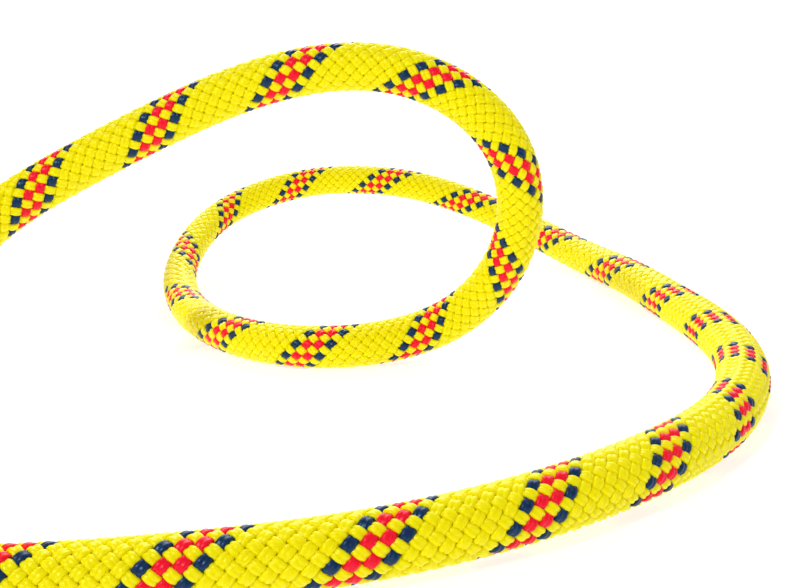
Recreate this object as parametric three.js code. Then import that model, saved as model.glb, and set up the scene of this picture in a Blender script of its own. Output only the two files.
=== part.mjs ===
// A 30 m dynamic climbing rope, 10 mm thick, in millimetres with +Z up.
//
// One end lies on the ground in its heat-shrink sleeve. The rope runs away from it in an open curve,
// turns back, makes a loop on the ground, springs up over the loop in a low arch and comes down into
// a neat round coil that three straps hold together. The other end lies on top of the coil.
// The uncoiled stretch is made as the rope is made: a hollow sheath over eleven core strands and an
// identification tape. The coil is one plain ring of the outer shape of its turns.

import * as THREE from 'three';

// ---- Driving dimensions -------------------------------------------------------------------------

const ropeLength = 30000;
const ropeRadius = 5;
const sheathInnerRadius = 4.05;
const gap = 0.3;

const coreStrandRadius = 0.82;
const innerCoreCount = 3;
const innerCoreRing = 0.98;
const outerCorePlaces = 9; // the last place holds the identification tape
const outerCoreRing = 2.85;
const tapeWidth = 1.3;
const tapeThickness = 0.5;

const sleeveLength = 52;
const sleeveWall = 0.5;
const sleeveOverhang = 1; // past the end of the rope
const tipLength = 2.5;

const turnSpacing = 10.1;
const layerCount = 7;
const outerTurnRadius = 106;
const layerChangeAngle = Math.PI / 3; // in which the rope steps inwards by one turn spacing
const mergeLength = 74; // from the uncoiled stretch to the first turn
const riseLength = 60; // from the last turn up over the straps
const coilCentre = new THREE.Vector2(-222, 219);

const strapWidth = 25;
const strapThickness = 1.5;
const strapCornerRadius = 6;
const strapAngles = [40, 160, 280];

const tailLength = 150; // the part of the upper end that lies on top of the coil
const tailStartAngle = 60;
const tailStartRadius = 50;
const tailEndRadius = 84;

const stepLength = 24; // along every tube
const tubeSides = 12;
const strandSides = 5;
const ringSides = 64;

// ---- The route of the uncoiled stretch ----------------------------------------------------------

// From the near end to the side of the coil, along the middle of the rope.
const routePoints = [
  [-136, 121, 6.2],
  [-110, 119.5, 6.2],
  [-84, 118, 6.2],
  [-58, 117, 5.3],
  [-30, 116.6, 5.2],
  [-5, 118.4, 5.6],
  [17.8, 124.8, 6],
  [39.3, 137.3, 5.8],
  [55.8, 154.2, 5.2],
  [66, 176.4, 5.2],
  [68.5, 200.7, 5.2],
  [66.4, 224.3, 5.2],
  [62.9, 250.8, 5.2],
  [56.5, 276, 5.5],
  [47.5, 299, 8.2],
  [33, 318.5, 14.2],
  [13, 331.5, 21.5],
  [-10, 340, 25.4],
  [-34, 343, 25],
  [-55.7, 333, 20.4],
  [-66, 311.5, 14],
  [-67.3, 287.5, 8],
  [-61.3, 263.5, 5.2],
  [-50.4, 238.7, 5.2],
  [-34.6, 219.2, 5.2],
  [-13, 209.8, 5.2],
  [9.5, 211, 8.6],
  [25.2, 203.5, 26.5],
  [24, 198, 50.5],
  [6.8, 201, 65.2],
  [-17.5, 203, 67.6],
  [-41.7, 203.3, 61.5],
  [-64.5, 202.5, 52.6],
  [-84.3, 199.5, 42.6],
  [-100, 191.5, 28],
  [-112, 179, 15],
];

const route = new THREE.CatmullRomCurve3(
  routePoints.map(([x, y, z]) => new THREE.Vector3(x, y, z)),
  false,
  'centripetal',
);

// ---- The coil's size, from the rope that is left over -------------------------------------------

const innerTurnRadius = outerTurnRadius - (layerCount - 1) * turnSpacing;
const meanTurnRadius = (outerTurnRadius + innerTurnRadius) / 2;
const changesLength = (layerCount - 1) * layerChangeAngle * meanTurnRadius;
const coiledLength =
  ropeLength - route.getLength() - mergeLength - changesLength - riseLength - tailLength;
const turnsPerLayer = coiledLength / (layerCount * 2 * Math.PI * meanTurnRadius);

const coilOuterRadius = outerTurnRadius + ropeRadius;
const coilInnerRadius = innerTurnRadius - ropeRadius;
const coilBottom = strapThickness + gap;
const coilHeight = turnsPerLayer * turnSpacing + 2 * ropeRadius;
const coilTop = coilBottom + coilHeight;

// ---- Materials ----------------------------------------------------------------------------------

const makeMaterial = (color, roughness) =>
  new THREE.MeshStandardMaterial({ color, roughness, metalness: 0 });

const sheathMaterial = makeMaterial(0xf2e500, 0.6);
const coreMaterial = makeMaterial(0xf4f2ea, 0.7);
const tapeMaterial = makeMaterial(0xd9e6f2, 0.4);
const sleeveMaterial = makeMaterial(0x1b1c20, 0.45);
const tipMaterial = makeMaterial(0x3a3a20, 0.35);
const strapMaterial = makeMaterial(0x202226, 0.85);

// ---- Shape helpers ------------------------------------------------------------------------------

const group = new THREE.Group();

function addMesh(name, geometry, material) {
  const mesh = new THREE.Mesh(geometry, material);
  mesh.name = name;
  group.add(mesh);
  return mesh;
}

/** A closed outline with straight sides and its corners on a circle around (x, y). */
function polygon(radius, sides, x = 0, y = 0) {
  const corners = Array.from({ length: sides }, (_, i) => {
    const angle = (2 * Math.PI * (i + 0.5)) / sides;
    return new THREE.Vector2(x + radius * Math.cos(angle), y + radius * Math.sin(angle));
  });
  return new THREE.Shape(corners);
}

/** An outline of a ring: a tube's wall seen end on. */
function pipeOutline(outerRadius, innerRadius) {
  const outline = polygon(outerRadius, tubeSides);
  outline.holes.push(new THREE.Path(polygon(innerRadius, tubeSides).getPoints()));
  return outline;
}

function sweep(outline, path) {
  const steps = Math.max(1, Math.round(path.getLength() / stepLength));
  return new THREE.ExtrudeGeometry(outline, { steps, extrudePath: path, bevelEnabled: false });
}

/** The first `length` of a curve, with a straight lead-in of `extra` before its start. */
function startOf(curve, length, extra) {
  const pointCount = 4;
  const points = [curve.getPoint(0).addScaledVector(curve.getTangent(0), -extra)];
  for (let i = 1; i <= pointCount; i += 1) {
    points.push(curve.getPointAt((i / pointCount) * (length / curve.getLength())));
  }
  return new THREE.CatmullRomCurve3(points, false, 'centripetal');
}

/** The same curve, run the other way. */
function reversed(curve) {
  return new THREE.CatmullRomCurve3([...curve.points].reverse(), false, 'centripetal');
}

// ---- The uncoiled stretch -----------------------------------------------------------------------

function addSheath() {
  addMesh('rope_sheath', sweep(pipeOutline(ropeRadius, sheathInnerRadius), route), sheathMaterial);
}

function addCoreStrands() {
  const places = [];
  for (let i = 0; i < innerCoreCount; i += 1) {
    places.push([innerCoreRing, (2 * Math.PI * i) / innerCoreCount]);
  }
  for (let i = 0; i < outerCorePlaces - 1; i += 1) {
    places.push([outerCoreRing, (2 * Math.PI * i) / outerCorePlaces]);
  }
  places.forEach(([ring, angle], i) => {
    const x = ring * Math.cos(angle);
    const y = ring * Math.sin(angle);
    const name = `core_strand_${String(i + 1).padStart(2, '0')}`;
    addMesh(name, sweep(polygon(coreStrandRadius, strandSides, x, y), route), coreMaterial);
  });
}

function addIdentificationTape() {
  const angle = (2 * Math.PI * (outerCorePlaces - 1)) / outerCorePlaces;
  const outwards = new THREE.Vector2(Math.cos(angle), Math.sin(angle));
  const sideways = new THREE.Vector2(-outwards.y, outwards.x);
  const corners = [[-1, -1], [1, -1], [1, 1], [-1, 1]].map(([u, v]) =>
    outwards
      .clone()
      .multiplyScalar(outerCoreRing + (u * tapeThickness) / 2)
      .addScaledVector(sideways, (v * tapeWidth) / 2),
  );
  addMesh('identification_tape', sweep(new THREE.Shape(corners), route), tapeMaterial);
}

/** The shrunk sleeve round the start of a curve and the melted plug that closes the rope there. */
function addRopeEnd(prefix, curve) {
  // A sleeve's flats, and not only its corners, stand clear of the rope.
  const sleeveInner = (ropeRadius + gap) / Math.cos(Math.PI / tubeSides);
  const sleeveOutline = pipeOutline(sleeveInner + sleeveWall, sleeveInner);
  const sleevePath = startOf(curve, sleeveLength, sleeveOverhang);
  addMesh(`${prefix}_sleeve`, sweep(sleeveOutline, sleevePath), sleeveMaterial);
  const outwards = curve.getTangent(0).negate();
  const tipStart = curve.getPoint(0).addScaledVector(outwards, gap);
  const tipEnd = tipStart.clone().addScaledVector(outwards, tipLength);
  const tipPath = new THREE.LineCurve3(tipStart, tipEnd);
  addMesh(`${prefix}_sealed_tip`, sweep(polygon(ropeRadius, tubeSides), tipPath), tipMaterial);
}

// ---- The coil -----------------------------------------------------------------------------------

/** The outline of the bundle of turns: a rectangle whose corners are as round as the rope. */
function bundleOutline() {
  const cornerSteps = 3;
  const middles = [
    [coilOuterRadius - ropeRadius, coilBottom + ropeRadius, -90],
    [coilOuterRadius - ropeRadius, coilTop - ropeRadius, 0],
    [coilInnerRadius + ropeRadius, coilTop - ropeRadius, 90],
    [coilInnerRadius + ropeRadius, coilBottom + ropeRadius, 180],
  ];
  const points = [];
  for (const [x, y, startAngle] of middles) {
    for (let i = 0; i <= cornerSteps; i += 1) {
      const angle = THREE.MathUtils.degToRad(startAngle + (90 * i) / cornerSteps);
      points.push(new THREE.Vector2(x + ropeRadius * Math.cos(angle), y + ropeRadius * Math.sin(angle)));
    }
  }
  points.push(points[0].clone());
  return points;
}

function addCoil() {
  const coil = addMesh('rope_coil', new THREE.LatheGeometry(bundleOutline(), ringSides), sheathMaterial);
  coil.rotation.x = Math.PI / 2;
  coil.position.set(coilCentre.x, coilCentre.y, 0);
}

/** A rectangle with round corners, for a strap seen from its edge. */
function roundedRectangle(left, bottom, right, top, radius, PathType) {
  const path = new PathType();
  path.moveTo(left + radius, bottom);
  path.lineTo(right - radius, bottom);
  path.absarc(right - radius, bottom + radius, radius, -Math.PI / 2, 0, false);
  path.lineTo(right, top - radius);
  path.absarc(right - radius, top - radius, radius, 0, Math.PI / 2, false);
  path.lineTo(left + radius, top);
  path.absarc(left + radius, top - radius, radius, Math.PI / 2, Math.PI, false);
  path.lineTo(left, bottom + radius);
  path.absarc(left + radius, bottom + radius, radius, Math.PI, 1.5 * Math.PI, false);
  return path;
}

function addStraps() {
  const halfWidth = strapWidth / 2;
  // The flat inner wall of a strap stands clear of the curved inside of the coil at its edges.
  const innerWall = Math.sqrt((coilInnerRadius - gap) ** 2 - halfWidth ** 2);
  const outerWall = coilOuterRadius + gap;
  const top = coilTop + gap;
  const outline = roundedRectangle(
    innerWall - strapThickness,
    0,
    outerWall + strapThickness,
    top + strapThickness,
    strapCornerRadius,
    THREE.Shape,
  );
  const cornerInside = strapCornerRadius - strapThickness;
  outline.holes.push(
    roundedRectangle(innerWall, strapThickness, outerWall, top, cornerInside, THREE.Path),
  );
  strapAngles.forEach((degrees, i) => {
    const geometry = new THREE.ExtrudeGeometry(outline, {
      depth: strapWidth,
      bevelEnabled: false,
      curveSegments: 4,
    });
    geometry.translate(0, 0, -halfWidth);
    geometry.rotateX(Math.PI / 2);
    const strap = addMesh(`coil_strap_${i + 1}`, geometry, strapMaterial);
    strap.rotation.z = THREE.MathUtils.degToRad(degrees);
    strap.position.set(coilCentre.x, coilCentre.y, 0);
  });
}

// ---- The end on top of the coil -----------------------------------------------------------------

/** The last stretch lies over the straps and drifts outwards as it goes round. */
function tailCurve() {
  const height = coilTop + gap + strapThickness + gap + ropeRadius + sleeveWall;
  const meanRadius = (tailStartRadius + tailEndRadius) / 2;
  const sweptAngle = tailLength / meanRadius;
  const points = [];
  const pointCount = 9;
  for (let i = 0; i < pointCount; i += 1) {
    const share = i / (pointCount - 1);
    const angle = THREE.MathUtils.degToRad(tailStartAngle) - share * sweptAngle;
    const radius = THREE.MathUtils.lerp(tailStartRadius, tailEndRadius, share);
    const x = coilCentre.x + radius * Math.cos(angle);
    const y = coilCentre.y + radius * Math.sin(angle);
    points.push(new THREE.Vector3(x, y, height));
  }
  return new THREE.CatmullRomCurve3(points, false, 'centripetal');
}

function addTail() {
  const tail = tailCurve();
  addMesh('coil_tail', sweep(polygon(ropeRadius, tubeSides), tail), sheathMaterial);
  addRopeEnd('coil_end', reversed(tail));
}

// ---- Assembly -----------------------------------------------------------------------------------

addSheath();
addCoreStrands();
addIdentificationTape();
addRopeEnd('near_end', route);
addCoil();
addStraps();
addTail();

// The origin is the middle of the footprint, on the ground.
group.updateMatrixWorld(true);
const box = new THREE.Box3().setFromObject(group, true);
const middle = box.getCenter(new THREE.Vector3());
group.position.set(-middle.x, -middle.y, -box.min.z);

export default group;
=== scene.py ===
"""A 30 m dynamic climbing rope, in metres with +Z up, in the frame of its CAD part.

The uncoiled stretch is a real braid of twenty doubled strands over eleven core strands. The
coiled length follows its own winding, turn by turn, under a skin with one raised cell for every
crossing of the braid. Three webbing straps hold the coil.
"""

from math import cos, pi, radians, sin

import bpy
import numpy as np
from mathutils import Matrix, Vector


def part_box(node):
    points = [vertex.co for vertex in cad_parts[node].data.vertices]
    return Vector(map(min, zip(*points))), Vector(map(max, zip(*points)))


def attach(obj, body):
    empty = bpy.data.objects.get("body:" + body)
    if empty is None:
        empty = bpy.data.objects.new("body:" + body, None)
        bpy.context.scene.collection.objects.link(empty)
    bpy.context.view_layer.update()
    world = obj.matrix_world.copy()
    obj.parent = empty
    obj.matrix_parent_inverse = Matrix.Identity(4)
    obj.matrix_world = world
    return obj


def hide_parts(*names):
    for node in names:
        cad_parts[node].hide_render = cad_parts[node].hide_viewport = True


MM = 0.001

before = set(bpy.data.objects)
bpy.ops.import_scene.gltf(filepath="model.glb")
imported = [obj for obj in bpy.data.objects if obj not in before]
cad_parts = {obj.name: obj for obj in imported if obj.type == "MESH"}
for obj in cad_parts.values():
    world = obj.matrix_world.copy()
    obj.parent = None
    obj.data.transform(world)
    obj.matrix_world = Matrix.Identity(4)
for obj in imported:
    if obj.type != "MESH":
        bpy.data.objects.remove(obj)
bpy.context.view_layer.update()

# ---- The rope -----------------------------------------------------------------------------------

ROPE_RADIUS = 5.0 * MM
PITCH = 29.3 * MM  # one full turn of a sheath strand, where the braid is even
STRANDS_EACH_WAY = 10
CROSSING = PITCH / (2 * STRANDS_EACH_WAY)  # from one crossing to the next, at that pitch

STRAND_FILL = 1.008  # the width of a strand, as a share of the room for it
STRAND_MEAN_WIDTH = 0.93  # as a share of its width on top of its wave
STRAND_WIDTH_CHANGE = 0.07
STRAND_WAVE_FLATNESS = 0.25
STRAND_HALF_THICKNESS = 0.42 * MM
STRAND_WAVE = 0.30 * MM
STRAND_MIDDLE = ROPE_RADIUS - STRAND_WAVE - STRAND_HALF_THICKNESS
STEPS_PER_CROSSING = 6

# A doubled strand seen end on: two yarns side by side, in half widths and half thicknesses.
STRAND_ACROSS = np.array([-1, -0.77, -0.48, -0.22, 0, 0.22, 0.48, 0.77, 1, 0.5, -0.5])
STRAND_HEIGHT = np.array([-0.1, 0.70, 1, 0.92, 0.72, 0.92, 1, 0.70, -0.1, -0.5, -0.5])

CORE_STRAND_RADIUS = 0.80 * MM
CORE_INNER_RING = 0.98 * MM
CORE_OUTER_RING = 2.80 * MM
INNER_CORE_STRANDS = 3
OUTER_CORE_STRANDS = 8
OUTER_CORE_PLACES = OUTER_CORE_STRANDS + 1  # the tape has the last one
CORE_SIDES = 9
CORE_PLIES = 3
PLY_GROOVE = 0.12
CORE_LAY = 9 * MM
CORE_STEP = 2 * MM

TAPE_HALF_WIDTH = 0.6 * MM
TAPE_HALF_THICKNESS = 0.1 * MM

SLEEVE_LENGTH = 52 * MM
SLEEVE_OVERHANG = 1 * MM
SLEEVE_INNER = 5.2 * MM
SLEEVE_OUTER = 5.85 * MM
SLEEVE_RINGS = 70
SLEEVE_SIDES = 40
SLEEVE_RIM = 1.5 * MM
SLEEVE_DRAW_IN = 0.25 * MM
SLEEVE_RIPPLE = 0.05 * MM

TIP_LENGTH = 2.8 * MM
TIP_INSIDE = 0.4 * MM
TIP_RINGS = 14
TIP_SIDES = 48
TIP_WIDTH = 0.99
TIP_ROUNDNESS = 0.45
TIP_LOBES = 0.035
TIP_UNEVENNESS = 0.02

CELL_RELIEF = 0.55 * MM
COIL_CORE_RADIUS = 4.2 * MM
COIL_CORE_STEP = 6 * MM
COIL_CORE_SIDES = 8

STRAP_WIDTH = 25 * MM
STRAP_THICKNESS = 1.5 * MM
STRAP_INNER_WALL = 37.4 * MM
STRAP_OUTER_WALL = 112.1 * MM
STRAP_CORNER = 5.5 * MM
STRAP_START_HEIGHT = 70 * MM
STRAP_FREE_END_HEIGHT = 18 * MM
STRAP_STEP = 0.9 * MM
STRAP_RELIEF = 0.12 * MM
STRAP_GAP = 0.1 * MM
STRAP_LAP_ABOVE = 6 * MM
STRAP_LAP_BELOW = 2 * MM
STRAP_CORNER_STEP = 15
STRAP_COLUMNS = 28
STRAP_EDGE_SHARPNESS = 14
STRAP_ANGLES = (40, 160, 280)

# The tracer: four neighbouring left-handed strands aren't yellow.
TRACER = {0: "navy", 1: "red", 2: "red", 3: "navy"}

# The distance from the near end at which each pitch of the braid stops, and that pitch, in
# millimetres. These are fitted values, rounded. They put the bands of the tracer in place.
STRETCH_PITCHES = [
    (130, 27.5),
    (154, 24),
    (201, 22.8),
    (224, 20.5),
    (273, 23),
    (308, 34.5),
    (388, 40),
    (484, 32),
    (517, 35.5),
    (597, 45.5),
    (647, 25.5),
    (676, 29.5),
    (723, 24.4),
]
TURNS_SMOOTHING = 15  # points of the line each way

# ---- The way that it lies -----------------------------------------------------------------------

# From the near end to the side of the coil, in millimetres from a point below the camera.
ROUTE = [
    (-136, 121, 6.2),
    (-110, 119.5, 6.2),
    (-84, 118, 6.2),
    (-58, 117, 5.3),
    (-30, 116.6, 5.2),
    (-5, 118.4, 5.6),
    (17.8, 124.8, 6),
    (39.3, 137.3, 5.8),
    (55.8, 154.2, 5.2),
    (66, 176.4, 5.2),
    (68.5, 200.7, 5.2),
    (66.4, 224.3, 5.2),
    (62.9, 250.8, 5.2),
    (56.5, 276, 5.5),
    (47.5, 299, 8.2),
    (33, 318.5, 14.2),
    (13, 331.5, 21.5),
    (-10, 340, 25.4),
    (-34, 343, 25),
    (-55.7, 333, 20.4),
    (-66, 311.5, 14),
    (-67.3, 287.5, 8),
    (-61.3, 263.5, 5.2),
    (-50.4, 238.7, 5.2),
    (-34.6, 219.2, 5.2),
    (-13, 209.8, 5.2),
    (9.5, 211, 8.6),
    (25.2, 203.5, 26.5),
    (24, 198, 50.5),
    (6.8, 201, 65.2),
    (-17.5, 203, 67.6),
    (-41.7, 203.3, 61.5),
    (-64.5, 202.5, 52.6),
    (-84.3, 199.5, 42.6),
    (-100, 191.5, 28),
    (-112, 179, 15),
]
MERGE = [(-121, 166, 9), (-131, 152, 6.9), (-145, 140, 6.8)]
CAMERA_HEIGHT = 72.3
CAMERA_TILT = 14.87
CAMERA_ROLL = -4.644
CAMERA_LENS = 42.75
CAMERA_SENSOR = 36

FLOOR_GLOW = 0.74
BACKDROP_GLOW = 1.0
WORLD_LIGHT = 0.3

COIL_CENTRE = np.array([-222.0, 219.0])
OUTER_TURN_RADIUS = 106
TURN_SPACING = 10.1
LAYER_COUNT = 7
TURNS_PER_LAYER = 8.5
LOWEST_TURN = 6.8
FIRST_TURN_ANGLE = -56.5
LAYER_CHANGE_ANGLE = 60
TURN_STEP = 10
STEPS_PER_LAYER = round(TURNS_PER_LAYER * 360 / TURN_STEP)
STEPS_PER_CHANGE = round(LAYER_CHANGE_ANGLE / TURN_STEP)
TAIL_POINTS = 10
TAIL_ANGLES = (60, -68)
TAIL_RADII = (50, 84)

LINE_STEP = 1.0 * MM


def frame_offset():
    """From the point below the camera to the origin of the CAD part."""
    low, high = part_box("rope_coil")
    middle = (low + high) / 2
    return np.array([middle.x - COIL_CENTRE[0] * MM, middle.y - COIL_CENTRE[1] * MM, 0.0])


def ring_point(radius, degrees, height):
    x = COIL_CENTRE[0] + radius * cos(radians(degrees))
    y = COIL_CENTRE[1] + radius * sin(radians(degrees))
    return (x, y, height)


def coil_points():
    """Seven layers of turns from the outside in, wound alternately upwards and downwards."""
    points = []
    angle = FIRST_TURN_ANGLE
    radius = OUTER_TURN_RADIUS
    height = LOWEST_TURN
    for layer in range(LAYER_COUNT):
        climb = TURN_SPACING * TURN_STEP / 360 * (1 if layer % 2 == 0 else -1)
        for _ in range(STEPS_PER_LAYER):
            points.append(ring_point(radius, angle, height))
            angle -= TURN_STEP
            height += climb
        if layer < LAYER_COUNT - 1:
            for _ in range(STEPS_PER_CHANGE):
                points.append(ring_point(radius, angle, height))
                angle -= TURN_STEP
                radius -= TURN_SPACING / STEPS_PER_CHANGE
    points.append(ring_point(radius, angle, height))
    return points


def tail_points():
    """The upper end, on top of the straps."""
    shares = np.linspace(0, 1, TAIL_POINTS)
    radii = np.interp(shares, (0, 1), TAIL_RADII)
    angles = np.interp(shares, (0, 1), TAIL_ANGLES)
    height = tail_height()
    return [ring_point(radius, degrees, height) for radius, degrees in zip(radii, angles)]


def tail_height():
    low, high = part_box("coil_tail")
    return (low.z + high.z) / 2 / MM


def spline(points, step):
    """A smooth line through the points, as points an even step apart."""
    points = np.array(points, float)
    chords = np.linalg.norm(np.diff(points, axis=0), axis=1)
    knots = np.concatenate([[0], np.cumsum(chords)])
    matrix = np.eye(len(points))
    right = np.zeros_like(points)
    for i in range(1, len(points) - 1):
        before, after = chords[i - 1], chords[i]
        matrix[i, i - 1 : i + 2] = before, 2 * (before + after), after
        slope_change = (points[i + 1] - points[i]) / after - (points[i] - points[i - 1]) / before
        right[i] = 6 * slope_change
    bend = np.linalg.solve(matrix, right)
    at = np.linspace(0, knots[-1], int(knots[-1] / step) * 2)
    i = np.clip(np.searchsorted(knots, at, side="right") - 1, 0, len(points) - 2)
    h, a, b = chords[i, None], (knots[i + 1] - at)[:, None], (at - knots[i])[:, None]
    line = (bend[i] * a**3 + bend[i + 1] * b**3) / (6 * h)
    line += (points[i] / h - bend[i] * h / 6) * a + (points[i + 1] / h - bend[i + 1] * h / 6) * b
    return evenly(line, step)


def distances(line):
    return np.concatenate([[0], np.cumsum(np.linalg.norm(np.diff(line, axis=0), axis=1))])


def evenly(line, step):
    at = distances(line)
    wanted = np.linspace(0, at[-1], max(2, round(at[-1] / step) + 1))
    return np.stack([np.interp(wanted, at, line[:, k]) for k in range(3)], axis=1)


def unit(vectors):
    return vectors / np.linalg.norm(vectors, axis=-1, keepdims=True)


def carried_sides(line):
    """The line's direction and two square to it, carried along it without turning about it."""
    ahead = unit(np.gradient(line, axis=0))
    first = np.empty_like(line)
    side = np.cross((0, 0, 1), ahead[0])
    for i, direction in enumerate(ahead):
        side = side - (side @ direction) * direction
        side /= np.sqrt(side @ side)
        first[i] = side
    return ahead, first, np.cross(ahead, first)


OFFSET = frame_offset()
LINE = spline(ROUTE + MERGE + coil_points() + tail_points(), LINE_STEP / MM) * MM + OFFSET
ALONG = distances(LINE)
AHEAD, SIDE, OTHER_SIDE = carried_sides(LINE)
LINE_LENGTH = ALONG[-1]


def sheath_turns():
    """The turns that a strand has made at each point of the line, with no sudden changes."""
    ends, turns = [0.0], [0.0]
    for end, pitch in STRETCH_PITCHES:
        turns.append(turns[-1] + (end * MM - ends[-1]) / (pitch * MM))
        ends.append(end * MM)
    beyond = np.clip(ALONG - ends[-1], 0, None) / PITCH
    sharp = np.interp(ALONG, ends, turns) + beyond
    window = np.hanning(2 * TURNS_SMOOTHING + 1)
    longer = np.pad(sharp, TURNS_SMOOTHING, mode="reflect", reflect_type="odd")
    return np.convolve(longer, window / window.sum(), mode="valid")


CROSSINGS = 2 * STRANDS_EACH_WAY * sheath_turns()
LOCAL_PITCH = 2 * STRANDS_EACH_WAY / np.gradient(CROSSINGS, ALONG)


def nearest_on_line(point):
    """The number of the line's point that is nearest to one in millimetres from below the camera."""
    place = np.array(point) * MM + OFFSET
    return np.linalg.norm(LINE - place, axis=1).argmin()


LEAD_CROSSINGS = int(CROSSINGS[nearest_on_line(ROUTE[-1])])
LEAD_LENGTH = np.interp(LEAD_CROSSINGS, CROSSINGS, ALONG)


def interpolated(values, along):
    return np.stack([np.interp(along, ALONG, values[:, k]) for k in range(3)], axis=-1)


def on_rope(along, angle, out):
    """Points at distances along the rope, angles round it and distances out from its middle."""
    sideways = out * np.cos(angle)
    otherwise = out * np.sin(angle)
    beyond = along - np.clip(along, 0, LINE_LENGTH)
    middle = interpolated(LINE, along) + interpolated(AHEAD, along) * beyond[..., None]
    return (
        middle
        + interpolated(SIDE, along) * sideways[..., None]
        + interpolated(OTHER_SIDE, along) * otherwise[..., None]
    )


# ---- Meshes -------------------------------------------------------------------------------------


def add_mesh(name, points, faces, materials, face_materials=None, grain=None):
    """A smooth-shaded mesh that rides on the rope's one body. Faces are rows of equal length.
    The grain gives each point's place along and across its strand."""
    faces = np.asarray(faces)
    mesh = bpy.data.meshes.new(name)
    mesh.vertices.add(len(points))
    mesh.vertices.foreach_set("co", np.asarray(points, np.float32).ravel())
    mesh.loops.add(faces.size)
    mesh.loops.foreach_set("vertex_index", faces.ravel())
    mesh.polygons.add(len(faces))
    mesh.polygons.foreach_set("loop_start", np.arange(0, faces.size, faces.shape[1]))
    mesh.polygons.foreach_set("use_smooth", np.ones(len(faces), bool))
    for material in materials:
        mesh.materials.append(material)
    if face_materials is not None:
        mesh.polygons.foreach_set("material_index", face_materials)
    if grain is not None:
        layer = mesh.uv_layers.new(name="grain")
        layer.data.foreach_set("uv", grain[faces.ravel()].astype(np.float32).ravel())
    mesh.update(calc_edges=True)
    mesh.validate()
    obj = bpy.data.objects.new(name, mesh)
    bpy.context.scene.collection.objects.link(obj)
    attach(obj, "root")
    return obj


def tube_faces(rings, sides):
    """Faces between neighbouring rings of points, each ring closed."""
    ring = np.arange(rings - 1)[:, None] * sides
    corner = np.arange(sides)
    after = (corner + 1) % sides
    faces = [ring + corner, ring + after, ring + sides + after, ring + sides + corner]
    return np.stack(faces, axis=-1).reshape(-1, 4)


def closed_tube(name, rings, material):
    """A tube through rings of points, with its two ends closed by a fan of faces."""
    count, sides = rings.shape[:2]
    points = np.concatenate([rings.reshape(-1, 3), rings[:1].mean(axis=1), rings[-1:].mean(axis=1)])
    corner = np.arange(sides)
    after = (corner + 1) % sides
    first_middle = np.full(sides, count * sides)
    last = (count - 1) * sides
    start = np.stack([after, corner, first_middle], axis=-1)
    end = np.stack([last + corner, last + after, first_middle + 1], axis=-1)
    tube = tube_faces(count, sides)
    triangles = np.concatenate([tube[:, [0, 1, 2]], tube[:, [0, 2, 3]], start, end])
    ring, side = np.divmod(np.arange(len(points)), sides)
    grain = np.stack([ring, side], axis=-1)
    return add_mesh(name, points, triangles, [material], grain=grain)


# ---- Materials ----------------------------------------------------------------------------------


def node_material(name, colour, roughness):
    """A Principled material of one colour, and its node tree, for the makers below to add to."""
    material = bpy.data.materials.new(name)
    material.use_nodes = True
    shader = material.node_tree.nodes["Principled BSDF"]
    shader.inputs["Base Color"].default_value = (*colour, 1)
    shader.inputs["Roughness"].default_value = roughness
    return material, material.node_tree, shader


def add_bump(tree, shader, height, distance, strength):
    bump = tree.nodes.new("ShaderNodeBump")
    bump.inputs["Distance"].default_value = distance
    bump.inputs["Strength"].default_value = strength
    tree.links.new(height, bump.inputs["Height"])
    tree.links.new(bump.outputs["Normal"], shader.inputs["Normal"])


def noise(tree, scale, detail, stretch=None):
    """Noise in the object's own space, or along the mesh's own directions if it is stretched."""
    texture = tree.nodes.new("ShaderNodeTexNoise")
    texture.inputs["Scale"].default_value = scale
    texture.inputs["Detail"].default_value = detail
    source = tree.nodes.new("ShaderNodeTexCoord")
    if stretch is None:
        tree.links.new(source.outputs["Object"], texture.inputs["Vector"])
        return texture
    mapping = tree.nodes.new("ShaderNodeMapping")
    mapping.inputs["Scale"].default_value = stretch
    tree.links.new(source.outputs["UV"], mapping.inputs["Vector"])
    tree.links.new(mapping.outputs["Vector"], texture.inputs["Vector"])
    return texture


def yarn_material(name, colour, shine=(1, 1, 1), roughness=0.32, painted_glow=0.0):
    """Nylon yarn: fine filaments along it, light that spreads inside it, and a painted glow in its
    own colour that stands in for its fluorescent brightness and fills its crevices with light."""
    material, tree, shader = node_material(name, colour, roughness)
    shader.inputs["Specular IOR Level"].default_value = 0.5
    shader.inputs["Specular Tint"].default_value = (*shine, 1)
    shader.inputs["Subsurface Weight"].default_value = 0.8
    shader.inputs["Subsurface Radius"].default_value = (1, 1, 0.3)
    shader.inputs["Subsurface Scale"].default_value = 0.8 * MM
    # Painted light: the yarn glows in its own colour, which brightens it all over and lightens its
    # crevices.
    shader.inputs["Emission Color"].default_value = (*colour, 1)
    shader.inputs["Emission Strength"].default_value = painted_glow
    filaments = noise(tree, 1.0, 2, stretch=(0.08, 2.5, 1))
    add_bump(tree, shader, filaments.outputs["Fac"], 0.015 * MM, 0.5)
    return material


def speckled_material(name, colour, roughness, grain, depth):
    """A plain surface with a fine uneven grain."""
    material, tree, shader = node_material(name, colour, roughness)
    add_bump(tree, shader, noise(tree, grain, 4).outputs["Fac"], depth, 0.6)
    return material


# The yellow and red yarns get a painted glow that brightens them and lightens their crevices.
YARN = {
    "yellow": yarn_material("sheath_yellow", (0.90, 0.79, 0.0), (1.0, 0.9, 0.25), painted_glow=0.11),
    "navy": yarn_material("sheath_navy", (0.004, 0.026, 0.105), (0.4, 0.7, 1.0)),
    "red": yarn_material("sheath_red", (0.90, 0.005, 0.030), (1.0, 0.4, 0.45), painted_glow=0.09),
}
CORE = yarn_material("core_yarn", (0.80, 0.79, 0.74), roughness=0.65)
TAPE = speckled_material("identification_tape", (0.62, 0.74, 0.85), 0.35, 400, 0.02 * MM)
SLEEVE = speckled_material("heat_shrink", (0.012, 0.012, 0.014), 0.38, 900, 0.03 * MM)
MELT = speckled_material("melted_nylon", (0.20, 0.17, 0.01), 0.3, 700, 0.2 * MM)
WEBBING = speckled_material("webbing", (0.012, 0.012, 0.015), 0.8, 2500, 0.05 * MM)

# ---- The uncoiled stretch -----------------------------------------------------------------------


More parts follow.
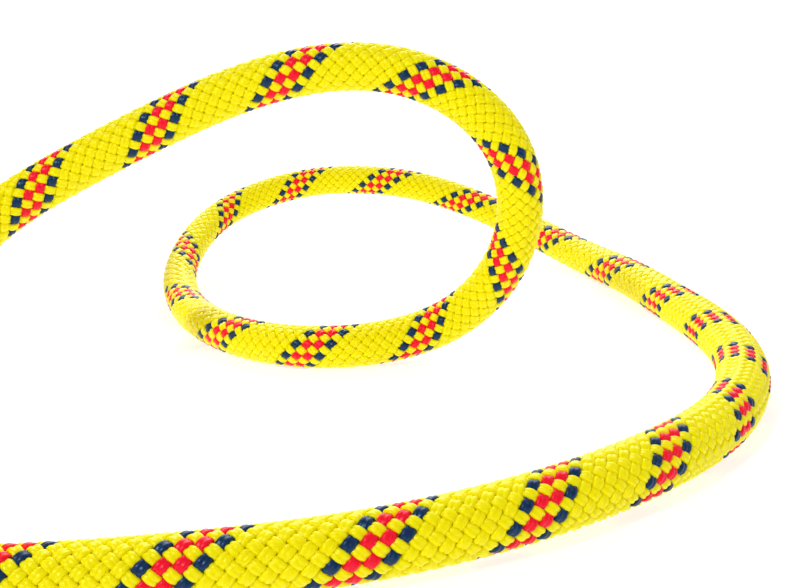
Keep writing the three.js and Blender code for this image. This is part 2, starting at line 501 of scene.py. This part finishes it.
def strand_rings(way, number):
    """Rings of points along one doubled strand. way is -1 for a left-handed strand, 1 for a right."""
    steps = round((LEAD_CROSSINGS - CROSSINGS[0]) * STEPS_PER_CROSSING)
    crossing = np.linspace(CROSSINGS[0], LEAD_CROSSINGS, steps + 1)
    along = np.interp(crossing, CROSSINGS, ALONG)
    angle = pi * (way * crossing + 2 * number) / STRANDS_EACH_WAY
    above = -way * np.cos(pi * crossing)
    above = above * (1 + STRAND_WAVE_FLATNESS - STRAND_WAVE_FLATNESS * above**2)
    middle = STRAND_MIDDLE + STRAND_WAVE * above
    slope = np.arctan2(2 * pi * ROPE_RADIUS, np.interp(along, ALONG, LOCAL_PITCH))[:, None]
    narrowing = STRAND_MEAN_WIDTH + STRAND_WIDTH_CHANGE * above
    width = STRAND_FILL * pi * ROPE_RADIUS / STRANDS_EACH_WAY * narrowing
    across = width[:, None] * np.cos(slope) * STRAND_ACROSS
    out = middle[:, None] + STRAND_HALF_THICKNESS * STRAND_HEIGHT
    along = along[:, None] - way * np.sin(slope) * across
    angle = angle[:, None] + np.cos(slope) * across / ROPE_RADIUS
    return on_rope(np.clip(along, 0, LEAD_LENGTH + CROSSING), angle, out)


def add_lead_strands():
    strands = []
    for way in (-1, 1):
        for number in range(STRANDS_EACH_WAY):
            colour = TRACER.get(number, "yellow") if way < 0 else "yellow"
            name = f"sheath_strand_{len(strands) + 1:02d}"
            strand = closed_tube(name, strand_rings(way, number), YARN[colour])
            strands.append(strand)
    for strand in strands:
        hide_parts("rope_sheath")
    return strands


def add_core_strands():
    """Eleven twisted three-ply strands inside the uncoiled stretch, as one piece."""
    along = np.arange(0, LEAD_LENGTH, CORE_STEP)
    inner = [2 * pi * i / INNER_CORE_STRANDS for i in range(INNER_CORE_STRANDS)]
    outer = [2 * pi * i / OUTER_CORE_PLACES for i in range(OUTER_CORE_STRANDS)]
    places = [(CORE_INNER_RING, place) for place in inner]
    places += [(CORE_OUTER_RING, place) for place in outer]
    side = np.arange(CORE_SIDES)
    around = side * 2 * pi / CORE_SIDES
    groove = side % (CORE_SIDES // CORE_PLIES) == 0
    radius = CORE_STRAND_RADIUS * (1 - PLY_GROOVE * groove)
    rings = []
    for ring, place in places:
        turned = around + 2 * pi * along[:, None] / CORE_LAY
        outwards = ring + radius * np.cos(turned)
        sideways = radius * np.sin(turned)
        angle = place + np.arctan2(sideways, outwards)
        rings.append(on_rope(along[:, None], angle, np.hypot(outwards, sideways)))
    tube = tube_faces(len(along), CORE_SIDES)
    faces = [tube + i * len(along) * CORE_SIDES for i in range(len(places))]
    points = np.concatenate([ring.reshape(-1, 3) for ring in rings])
    core = add_mesh("core_strands", points, np.concatenate(faces), [CORE])
    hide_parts(*[f"core_strand_{i + 1:02d}" for i in range(len(places))])
    return core


def add_identification_tape():
    """A thin strip in the place of the outer ring that has no strand."""
    along = np.arange(0, LEAD_LENGTH, CORE_STEP)[:, None]
    sideways = np.array([-1, 1, 1, -1]) * TAPE_HALF_WIDTH
    outwards = CORE_OUTER_RING + np.array([-1, -1, 1, 1]) * TAPE_HALF_THICKNESS
    place = 2 * pi * OUTER_CORE_STRANDS / OUTER_CORE_PLACES
    angle = place + np.arctan2(sideways, outwards)
    rings = on_rope(along, angle, np.hypot(outwards, sideways))
    tape = closed_tube("tape", rings, TAPE)
    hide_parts("identification_tape")
    return tape


# ---- The rope's ends ----------------------------------------------------------------------------


def add_sleeve(name, end, way):
    """A shrunk sleeve over one end of the rope. way points from the end into the rope."""
    outside = np.linspace(-SLEEVE_OVERHANG, SLEEVE_LENGTH, SLEEVE_RINGS)
    inside = outside[::-1]
    # The shrunk film follows the braid a little, and draws in at its two rims.
    from_rim = np.minimum(outside + SLEEVE_OVERHANG, SLEEVE_LENGTH - outside)
    draw_in = SLEEVE_DRAW_IN * np.clip(1 - from_rim / SLEEVE_RIM, 0, 1) ** 2
    ripple = SLEEVE_RIPPLE * np.cos(2 * pi * outside / (PITCH / STRANDS_EACH_WAY))
    angle = np.arange(SLEEVE_SIDES) * 2 * pi / SLEEVE_SIDES
    lobes = np.cos(STRANDS_EACH_WAY * angle)
    outer = SLEEVE_OUTER - draw_in[:, None] + ripple[:, None] * lobes
    inner = np.full((len(inside), SLEEVE_SIDES), SLEEVE_INNER)
    along = end + way * np.concatenate([outside, inside])
    rings = on_rope(along[:, None], angle, np.concatenate([outer, inner]))
    faces = tube_faces(len(along), SLEEVE_SIDES)
    last = (len(along) - 1) * SLEEVE_SIDES
    corner = np.arange(SLEEVE_SIDES)
    after = (corner + 1) % SLEEVE_SIDES
    closing = np.stack([last + corner, last + after, after, corner], axis=-1)
    points = rings.reshape(-1, 3)
    sleeve = add_mesh(f"{name}_film", points, np.concatenate([faces, closing]), [SLEEVE])
    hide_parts(f"{name}_sleeve")
    return sleeve


def add_sealed_tip(name, end, way):
    """The rope's cut end, melted into one lump with a low uneven dome."""
    share = np.linspace(0, 1, TIP_RINGS)
    along = end + way * (TIP_INSIDE - (TIP_LENGTH + TIP_INSIDE) * np.sin(share * pi / 2))
    angle = np.arange(TIP_SIDES) * 2 * pi / TIP_SIDES
    radius = ROPE_RADIUS * TIP_WIDTH * np.cos(share * pi / 2) ** TIP_ROUNDNESS
    uneven = 1 + TIP_LOBES * np.cos(STRANDS_EACH_WAY * angle) * np.cos(share[:, None] * pi / 2)
    uneven = uneven + TIP_UNEVENNESS * np.sin(3 * angle + 9 * share[:, None])
    out = np.minimum(radius[:, None] * uneven, ROPE_RADIUS)
    tip = closed_tube(f"{name}_melt", on_rope(along[:, None], angle, out), MELT)
    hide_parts(f"{name}_sealed_tip")
    return tip


# ---- The coil -----------------------------------------------------------------------------------


def skin(name, first_row, last_row):
    """The sheath from one row of crossings to another: every crossing is one raised cell."""
    rows = np.arange(first_row - 1, last_row + 1)[:, None]
    columns = np.arange(2 * STRANDS_EACH_WAY)
    raised = (rows + columns) % 2 == 0
    out = np.where(raised, ROPE_RADIUS, ROPE_RADIUS - CELL_RELIEF)
    angles = columns * pi / STRANDS_EACH_WAY
    along, angle = np.broadcast_arrays(np.interp(rows, CROSSINGS, ALONG), angles)
    points = on_rope(along, angle, out)
    row, column = np.nonzero(raised[1:-1])
    row = row + 1
    count = len(columns)
    middle = row * count + column
    before = middle - count
    after = middle + count
    left = row * count + (column - 1) % count
    right = row * count + (column + 1) % count
    corners = [(before, right), (right, after), (after, left), (left, before)]
    faces = np.concatenate([np.stack([middle, *pair], axis=-1) for pair in corners])
    absolute_row = rows[row, 0]
    number = ((column + absolute_row) // 2) % STRANDS_EACH_WAY
    left_handed = absolute_row % 2 == 0
    palette = list(YARN)
    shade = np.full(len(row), palette.index("yellow"))
    for strand, colour in TRACER.items():
        shade[left_handed & (number == strand)] = palette.index(colour)
    piece = add_mesh(name, points.reshape(-1, 3), faces, list(YARN.values()), np.tile(shade, 4))
    return piece


def add_coil():
    """The core of the coiled length, and a braided skin over each layer of its turns."""
    along = np.arange(LEAD_LENGTH, LINE_LENGTH, COIL_CORE_STEP)[:, None]
    angle = np.arange(COIL_CORE_SIDES) * 2 * pi / COIL_CORE_SIDES
    out = np.full(COIL_CORE_SIDES, COIL_CORE_RADIUS)
    core = closed_tube("coil_core", on_rope(along, angle, out), CORE)
    points = coil_points()
    ends = [layer_end(points, layer) for layer in range(LAYER_COUNT)]
    changes = [int(CROSSINGS[nearest_on_line(point)]) for point in ends]
    rows = [LEAD_CROSSINGS, *changes, int(CROSSINGS[-1])]
    skins = []
    for i in range(len(rows) - 1):
        is_tail = i == len(rows) - 2
        name = "tail_sheath" if is_tail else f"turns_of_layer_{i + 1}"
        skins.append(skin(name, rows[i], rows[i + 1]))
    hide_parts("rope_coil")
    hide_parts("coil_tail")
    return core, skins


def layer_end(points, layer):
    """The point of the coil at which one layer's last turn ends."""
    return points[(layer + 1) * STEPS_PER_LAYER + layer * STEPS_PER_CHANGE]


# ---- The straps ---------------------------------------------------------------------------------


def strap_line(node):
    """The middle of one strap, out from the coil's centre and up, from its hidden end to its free
    end, which lies over its start on the outside of the coil."""
    inner = STRAP_INNER_WALL
    outer = STRAP_OUTER_WALL
    low = STRAP_THICKNESS / 2
    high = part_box(node)[1].z - STRAP_THICKNESS / 2
    radius = STRAP_CORNER
    corners = [
        (outer - radius, low + radius, 0),
        (inner + radius, low + radius, -90),
        (inner + radius, high - radius, -180),
        (outer - radius, high - radius, -270),
    ]
    points = [(outer, STRAP_START_HEIGHT)]
    for x, z, start in corners:
        for degrees in np.arange(0, 91, STRAP_CORNER_STEP):
            turn = radians(start - degrees)
            points.append((x + radius * cos(turn), z + radius * sin(turn)))
    points.append((outer + STRAP_GAP, STRAP_START_HEIGHT + STRAP_LAP_ABOVE))
    over = outer + STRAP_THICKNESS + STRAP_GAP
    points.append((over, STRAP_START_HEIGHT - STRAP_LAP_BELOW))
    points.append((over, STRAP_FREE_END_HEIGHT))
    line = np.array([(x, 0, z) for x, z in points])
    return evenly(line, STRAP_STEP)


def add_strap(node, degrees):
    """Woven webbing, with its ribs and edges in relief."""
    line = strap_line(node)
    ahead = unit(np.gradient(line, axis=0))
    outwards = np.cross((0, 1, 0), ahead)
    across = np.linspace(-0.5, 0.5, STRAP_COLUMNS)
    step = np.arange(len(line))[:, None]
    weave = np.cos(pi * step) * np.cos(pi * np.arange(STRAP_COLUMNS)) * STRAP_RELIEF
    half = STRAP_THICKNESS / 2 - STRAP_RELIEF
    edge = np.sqrt(np.clip(1 - (2 * np.abs(across)) ** STRAP_EDGE_SHARPNESS, 0, 1))
    outer = (half + weave) * edge
    inner = -(half + weave[:, ::-1]) * edge
    depth = np.concatenate([outer, inner[:, ::-1]], axis=1)
    sideways = np.concatenate([across, across[::-1]]) * STRAP_WIDTH
    rings = line[:, None] + outwards[:, None] * depth[..., None]
    rings[..., 1] += sideways
    turn = radians(degrees)
    centre = (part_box("rope_coil")[0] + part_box("rope_coil")[1]) / 2
    turned = np.empty_like(rings)
    turned[..., 0] = centre.x + rings[..., 0] * cos(turn) - rings[..., 1] * sin(turn)
    turned[..., 1] = centre.y + rings[..., 0] * sin(turn) + rings[..., 1] * cos(turn)
    turned[..., 2] = rings[..., 2]
    strap = closed_tube(node.replace("coil_strap", "webbing_strap"), turned, WEBBING)
    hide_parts(node)
    return strap


# ---- Floor, light and camera --------------------------------------------------------------------


def add_floor():
    bpy.ops.mesh.primitive_plane_add(size=8, location=(0, 0, 0))
    floor = bpy.context.object
    floor.name = "floor"
    material, tree, shader = node_material("floor", (0.45, 0.45, 0.45), 0.9)
    shader.inputs["Specular IOR Level"].default_value = 0.1
    shader.inputs["Emission Color"].default_value = (1, 1, 1, 1)
    shader.inputs["Emission Strength"].default_value = FLOOR_GLOW
    add_bump(tree, shader, noise(tree, 30, 2).outputs["Fac"], 0.01 * MM, 0.1)
    floor.data.materials.append(material)


def add_area_light(name, place, target, size, power):
    data = bpy.data.lights.new(name, "AREA")
    data.shape = "DISK"
    data.size = size
    data.energy = power
    light = bpy.data.objects.new(name, data)
    bpy.context.scene.collection.objects.link(light)
    light.location = place
    direction = Vector(target) - Vector(place)
    light.rotation_euler = direction.to_track_quat("-Z", "Y").to_euler()


def add_backdrop():
    """A bright wall behind the rope."""
    bpy.ops.mesh.primitive_plane_add(size=8, location=(0, 4, 3.9), rotation=(pi / 2, 0, 0))
    wall = bpy.context.object
    wall.name = "backdrop"
    material, tree, shader = node_material("backdrop", (0.9, 0.9, 0.9), 0.9)
    shader.inputs["Emission Color"].default_value = (1, 1, 1, 1)
    shader.inputs["Emission Strength"].default_value = BACKDROP_GLOW
    add_bump(tree, shader, noise(tree, 30, 2).outputs["Fac"], 0.01 * MM, 0.1)
    wall.data.materials.append(material)


def add_lights():
    world = bpy.data.worlds.new("studio")
    bpy.context.scene.world = world
    world.use_nodes = True
    background = world.node_tree.nodes["Background"]
    background.inputs["Color"].default_value = (1, 1, 1, 1)
    background.inputs["Strength"].default_value = WORLD_LIGHT
    middle = (OFFSET[0], OFFSET[1] + 0.25, 0)
    x, y = OFFSET[:2]
    add_area_light("key", (x - 0.55, y - 0.45, 0.85), middle, size=0.13, power=6)
    add_area_light("behind", (x, y + 1.35, 0.85), middle, size=1.3, power=10)
    add_area_light("right", (x + 0.9, y + 0.1, 0.6), middle, size=0.5, power=1)


def add_camera():
    data = bpy.data.cameras.new("camera")
    data.sensor_width = CAMERA_SENSOR
    data.lens = CAMERA_LENS
    data.clip_start = 0.005
    camera = bpy.data.objects.new("camera", data)
    bpy.context.scene.collection.objects.link(camera)
    downwards = radians(CAMERA_TILT)
    roll = radians(CAMERA_ROLL)
    ahead = Vector((0, cos(downwards), -sin(downwards)))
    level_right = Vector((1, 0, 0))
    level_up = Vector((0, sin(downwards), cos(downwards)))
    right = level_right * cos(roll) + level_up * sin(roll)
    up = level_up * cos(roll) - level_right * sin(roll)
    place = Vector(OFFSET) + Vector((0, 0, CAMERA_HEIGHT * MM))
    turned = Matrix((right, up, -ahead)).transposed().to_4x4()
    camera.matrix_world = Matrix.Translation(place) @ turned
    bpy.context.scene.camera = camera


def set_colour_management():
    view = bpy.context.scene.view_settings
    view.view_transform = "Standard"
    view.look = "None"


# ---- Everything together ------------------------------------------------------------------------


add_camera()
set_colour_management()
add_floor()
add_backdrop()
add_lights()

lead = add_lead_strands()
lead.append(add_core_strands())
lead.append(add_identification_tape())
lead.append(add_sleeve("near_end", 0, 1))
lead.append(add_sealed_tip("near_end", 0, 1))

coil_core, coil_pieces = add_coil()
coil_pieces.append(add_sleeve("coil_end", LINE_LENGTH, -1))
coil_pieces.append(add_sealed_tip("coil_end", LINE_LENGTH, -1))

for strap_number, strap_angle in enumerate(STRAP_ANGLES, 1):
    add_strap(f"coil_strap_{strap_number}", strap_angle)
